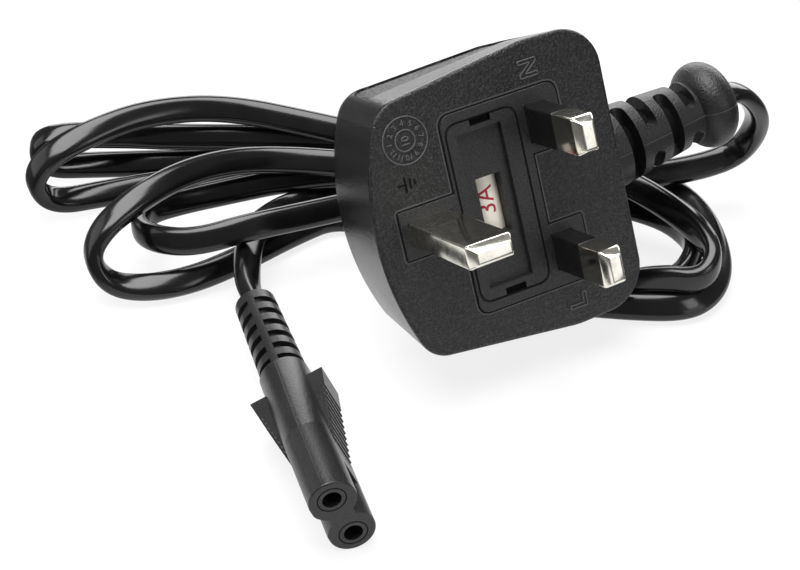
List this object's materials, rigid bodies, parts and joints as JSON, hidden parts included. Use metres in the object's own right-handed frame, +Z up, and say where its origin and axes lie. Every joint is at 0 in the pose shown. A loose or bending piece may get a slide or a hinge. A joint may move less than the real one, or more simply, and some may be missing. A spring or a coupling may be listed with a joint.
{
  "type": "power cord",
  "caption": "Moulded three-pin fused mains plug with a bulb-ended strain relief, a flat cord folded into a hank, and a two-hole figure-eight connector with finger wings.",
  "frame": {"origin": "on the floor, under the middle of the box of plug and connector, the cord left out", "axes": "+Z up from the floor; +X from the folded ends of the cord toward the plug's strain relief; -Y toward the connector's nose and the pin face"},
  "size_m": [0.1359, 0.1032, 0.0526],
  "materials": {
    "moulding": "fine matte texture on the face, satin elsewhere",
    "insert": "satin",
    "nickel_brass": "bright nickel plate",
    "sleeve": "satin",
    "fuse_ceramic": "ivory, printed",
    "brass": "plain",
    "cable": "glossy",
    "core_live": "satin",
    "core_neutral": "satin"
  },
  "bodies": {
    "lead": {"plug_overmould": "moulding", "pin_bridge": "insert", "earth_pin": "nickel_brass", "live_pin": "nickel_brass", "neutral_pin": "nickel_brass", "live_pin_sleeve": "sleeve", "neutral_pin_sleeve": "sleeve", "fuse_clip_pin_side": "brass", "fuse_clip_load_side": "brass", "plug_live_core": "core_live", "plug_neutral_core": "core_neutral", "cord": "cable", "connector_overmould": "moulding", "contact_holder": "insert", "contact_live": "brass", "contact_neutral": "brass", "connector_live_core": "core_live", "connector_neutral_core": "core_neutral"},
    "fuse_drawer": {"fuse_carrier": "insert", "fuse_tube": "fuse_ceramic", "fuse_cap_pin_side": "nickel_brass", "fuse_cap_load_side": "nickel_brass", "fuse_wire": "brass"}
  },
  "joints": [
    {"name": "fuse_drawer_slide", "type": "slide", "parent": "lead", "child": "fuse_drawer", "axis": [0.4113, -0.8141, 0.4099], "range_m": [0, 0.014]}
  ]
}
